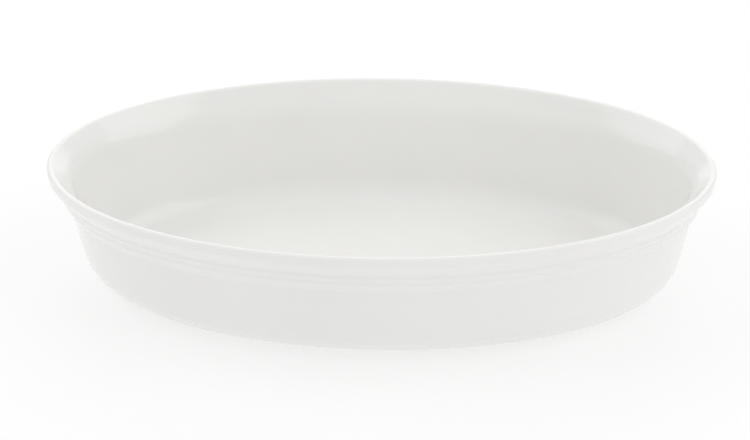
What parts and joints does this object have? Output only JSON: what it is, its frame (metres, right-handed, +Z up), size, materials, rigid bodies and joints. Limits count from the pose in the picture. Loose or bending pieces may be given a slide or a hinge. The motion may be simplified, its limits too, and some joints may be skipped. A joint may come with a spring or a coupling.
{
  "type": "oval baking dish",
  "caption": "Shallow oval dish of glazed white porcelain with a thick bevelled rim, a finely beaded collar under it, an upright wall and a flat floor.",
  "frame": {"origin": "middle of the dish on the surface that it stands on", "axes": "+Z up, +X along the dish's length, +Y across its width"},
  "size_m": [0.3, 0.18, 0.062],
  "materials": {
    "porcelain": "clear glossy glaze over white porcelain, dry and unglazed on the foot"
  },
  "bodies": {
    "root": {"dish": "porcelain"}
  },
  "joints": []
}
